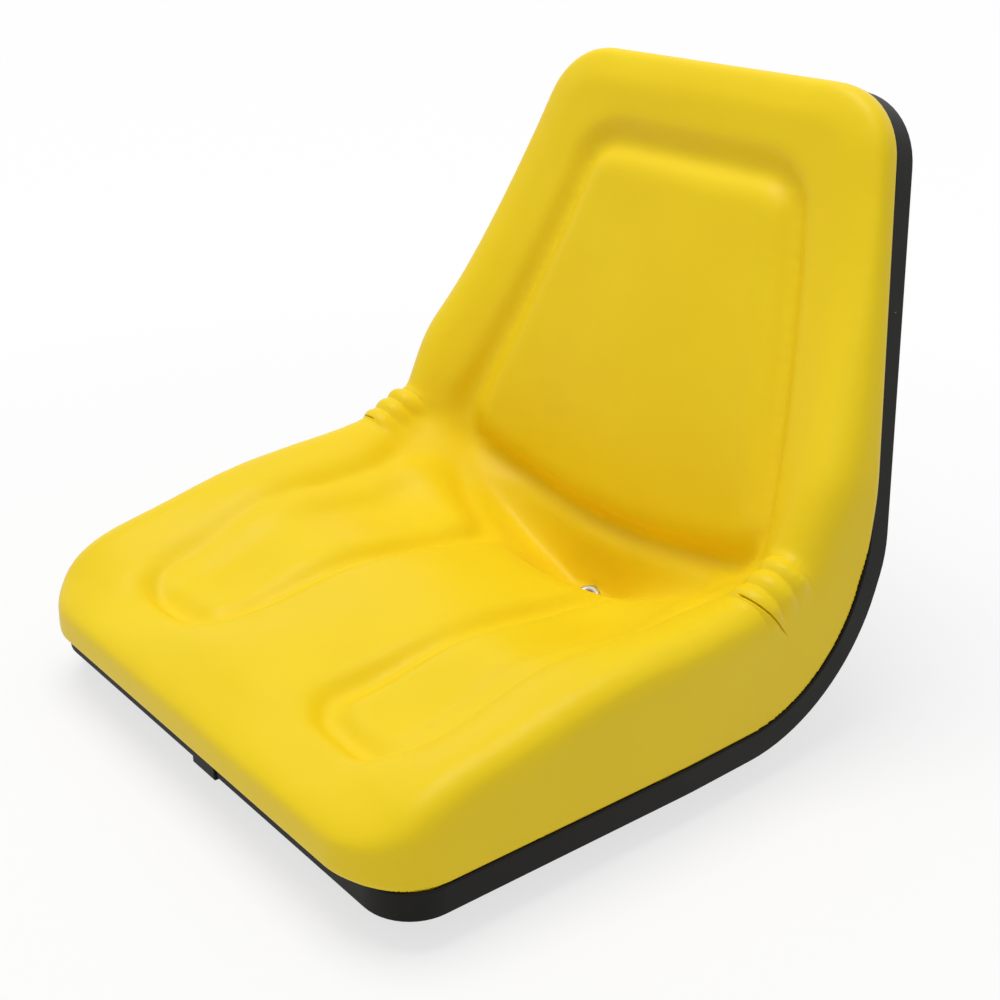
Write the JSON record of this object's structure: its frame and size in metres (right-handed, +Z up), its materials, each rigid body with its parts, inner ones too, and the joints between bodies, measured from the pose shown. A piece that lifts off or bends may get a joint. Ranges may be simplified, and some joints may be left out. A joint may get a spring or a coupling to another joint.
{
  "type": "tractor seat",
  "caption": "High-backed bucket seat for a garden tractor: padded vinyl cushion on a pressed steel pan with an edge trim, a drain eyelet and weld nuts for bolting down.",
  "frame": {"origin": "centre of the four mounting holes, on the flat underside of the pan", "axes": "+Z up out of the seat, -Y towards the front of the seat, +X to the side that is near in the picture"},
  "size_m": [0.483, 0.529, 0.4491],
  "materials": {
    "vinyl": "satin yellow vinyl with a very fine grain",
    "pan_paint": "black paint on pressed steel",
    "trim": "satin black extruded edging",
    "bright_metal": "plated steel"
  },
  "bodies": {
    "root": {"cushion": "vinyl", "seat_pan": "pan_paint", "edge_trim": "trim", "trim_sleeve": "trim", "drain_eyelet": "bright_metal", "weld_nuts": "bright_metal"}
  },
  "joints": []
}
